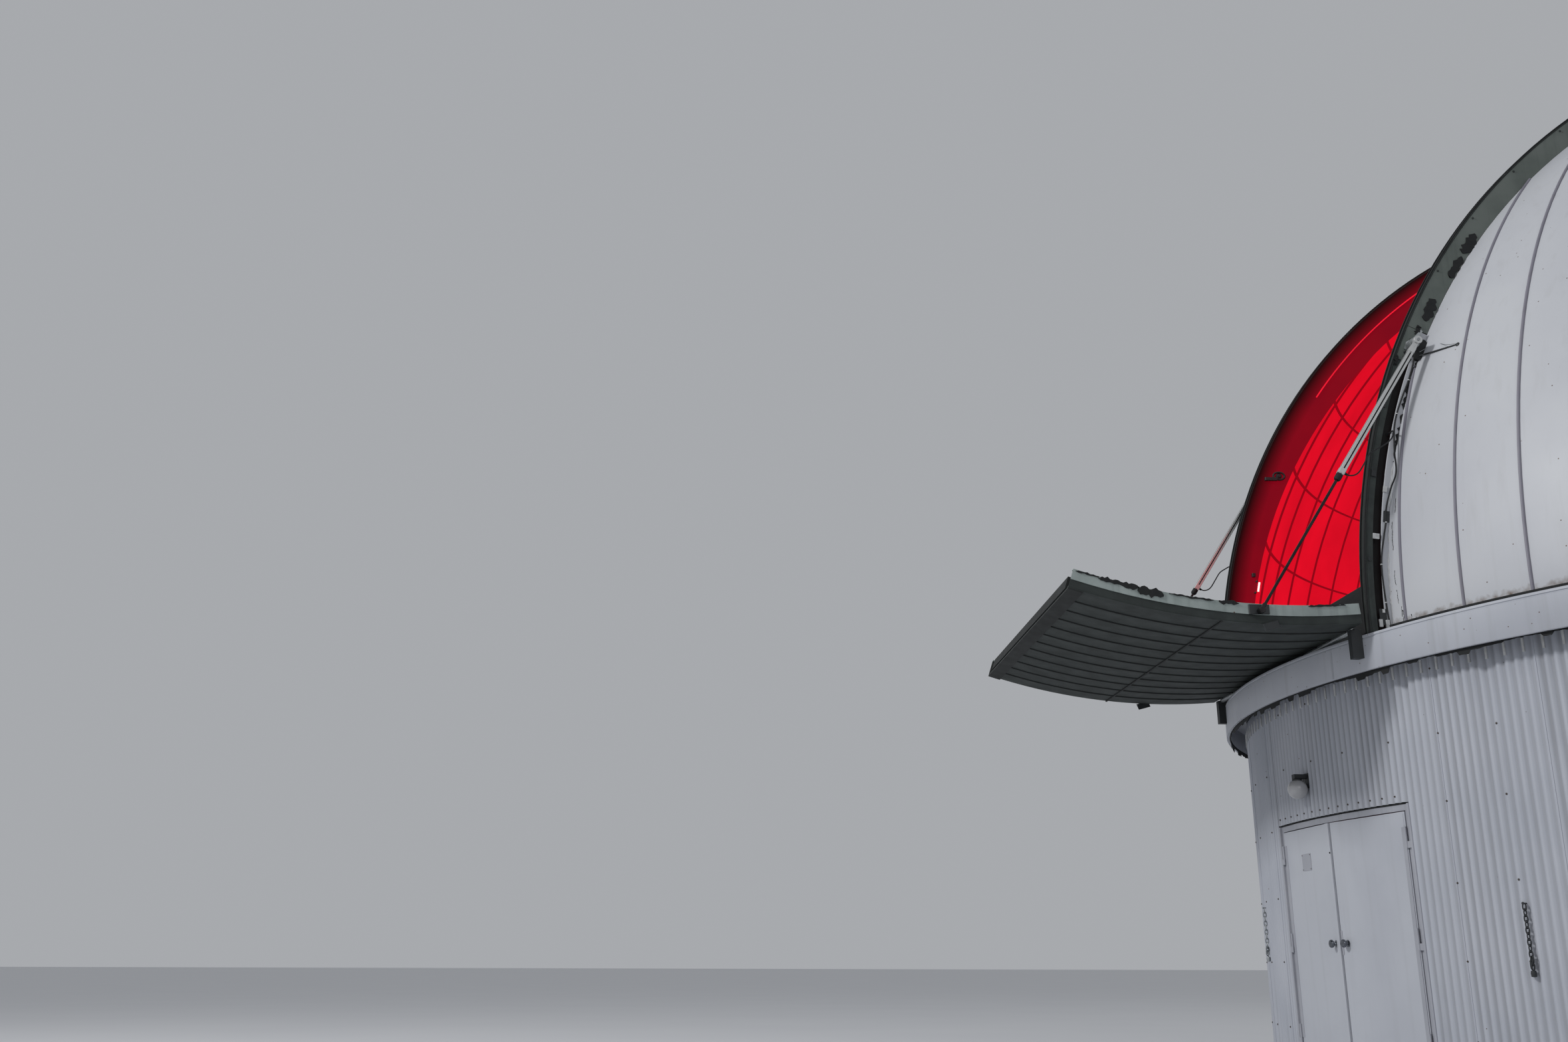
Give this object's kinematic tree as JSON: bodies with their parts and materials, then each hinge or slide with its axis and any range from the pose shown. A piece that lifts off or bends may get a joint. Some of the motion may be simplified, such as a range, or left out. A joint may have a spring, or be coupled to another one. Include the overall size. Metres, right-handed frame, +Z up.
{
  "type": "observatory dome",
  "caption": "Round corrugated observatory building with a double entrance door and a turning slit dome whose lower shutter folds out on two linear actuators.",
  "frame": {"origin": "centre of the round floor slab, on its underside, at ground level", "axes": "+Z up along the dome's turning axis, -Y through the middle of the slit at rest, +X towards the right-hand arch seen from the front"},
  "size_m": [10.95, 12.8965, 8.556],
  "materials": {
    "galvanised": "dull galvanised",
    "rod_steel": "bright rod",
    "cable_black": "black cable sheath",
    "arch_green": "grey-green paint",
    "ring_white": "off-white paint",
    "dome_white": "off-white paint with dirt at the seams",
    "frame_paint": "dull grey paint",
    "chrome": "dull bright plate",
    "door_paint": "dull grey-white paint",
    "concrete": "bare concrete",
    "dark_steel": "dark grey paint",
    "opal": "opal glass",
    "shutter_green": "dull grey-green sheet",
    "wall_sheet": "weathered light grey corrugated sheet"
  },
  "bodies": {
    "building": {"door_head": "frame_paint", "door_jamb_left": "frame_paint", "door_jamb_right": "frame_paint", "door_threshold": "galvanised", "floor_slab": "concrete", "lamp_bracket": "dark_steel", "lamp_globe": "opal", "track_ring": "dark_steel", "wall_over_door": "wall_sheet", "wall_segment_1": "wall_sheet", "wall_segment_2": "wall_sheet", "wall_segment_3": "wall_sheet", "wall_segment_4": "wall_sheet", "wall_segment_5": "wall_sheet", "wall_segment_6": "wall_sheet"},
    "dome": {"actuator_mount_left": "galvanised", "actuator_mount_right": "galvanised", "arch_cable_left": "cable_black", "arch_cable_right": "cable_black", "arch_left": "arch_green", "arch_right": "arch_green", "base_ring": "ring_white", "dome_left_front": "dome_white", "dome_left_rear": "dome_white", "dome_rear_strip": "dome_white", "dome_right_front": "dome_white", "dome_right_rear": "dome_white", "shutter_hinge_bracket_left": "galvanised", "shutter_hinge_bracket_right": "galvanised", "slit_sill": "arch_green", "upper_shutter_flange_left": "arch_green", "upper_shutter_flange_right": "arch_green", "upper_shutter_runner_left": "dark_steel", "upper_shutter_runner_right": "dark_steel", "upper_shutter_skin": "shutter_green"},
    "door_left": {"door_left_hinges": "frame_paint", "door_left_knob": "chrome", "door_left_leaf": "door_paint", "door_astragal": "frame_paint"},
    "door_right": {"door_right_hinges": "frame_paint", "door_right_knob": "chrome", "door_right_leaf": "door_paint"},
    "lower_shutter": {"lower_shutter_flange_left": "arch_green", "lower_shutter_flange_right": "arch_green", "lower_shutter_hinge_tube": "galvanised", "lower_shutter_rib": "arch_green", "lower_shutter_skin": "shutter_green", "lower_shutter_tip_rail": "arch_green"},
    "actuator_left": {"actuator_cylinder_left": "galvanised"},
    "rod_left": {"actuator_rod_left": "rod_steel"},
    "actuator_right": {"actuator_cylinder_right": "galvanised"},
    "rod_right": {"actuator_rod_right": "rod_steel"}
  },
  "joints": [
    {"name": "dome_turn", "type": "hinge", "parent": "building", "child": "dome", "pos_m": [0, 0, 3.262], "axis": [0, 0, 1], "continuous": true},
    {"name": "lower_shutter_fold", "type": "hinge", "parent": "dome", "child": "lower_shutter", "pos_m": [0, -5.305, 3.302], "axis": [-1, 0, 0], "range_deg": [0, 95]},
    {"name": "door_left_swing", "type": "hinge", "parent": "building", "child": "door_left", "pos_m": [-0.35407, -5.28589, 0.3], "axis": [0, 0, -1], "range_deg": [0, 110]},
    {"name": "door_right_swing", "type": "hinge", "parent": "building", "child": "door_right", "pos_m": [1.44533, -5.09676, 0.3], "axis": [0, 0, 1], "range_deg": [0, 110]},
    {"name": "actuator_left_swing", "type": "hinge", "parent": "dome", "child": "actuator_left", "pos_m": [-1.7, -4.66749, 5.49948], "axis": [1, 0, 0], "range_deg": [0, 14.92]},
    {"name": "rod_left_slide", "type": "slide", "parent": "actuator_left", "child": "rod_left", "axis": [0, 0.5506, 0.8348], "range_m": [0, 0.9999]},
    {"name": "actuator_right_swing", "type": "hinge", "parent": "dome", "child": "actuator_right", "pos_m": [1.7, -4.66749, 5.49948], "axis": [1, 0, 0], "range_deg": [0, 14.92]},
    {"name": "rod_right_slide", "type": "slide", "parent": "actuator_right", "child": "rod_right", "axis": [0, 0.5506, 0.8348], "range_m": [0, 0.9999]}
  ],
  "couplings": [
    {"joint": "actuator_left_swing", "follows": "lower_shutter_fold", "ratio": 0.15654},
    {"joint": "rod_left_slide", "follows": "lower_shutter_fold", "m_per_rad": 0.60245},
    {"joint": "actuator_right_swing", "follows": "lower_shutter_fold", "ratio": 0.15654},
    {"joint": "rod_right_slide", "follows": "lower_shutter_fold", "m_per_rad": 0.60245}
  ]
}
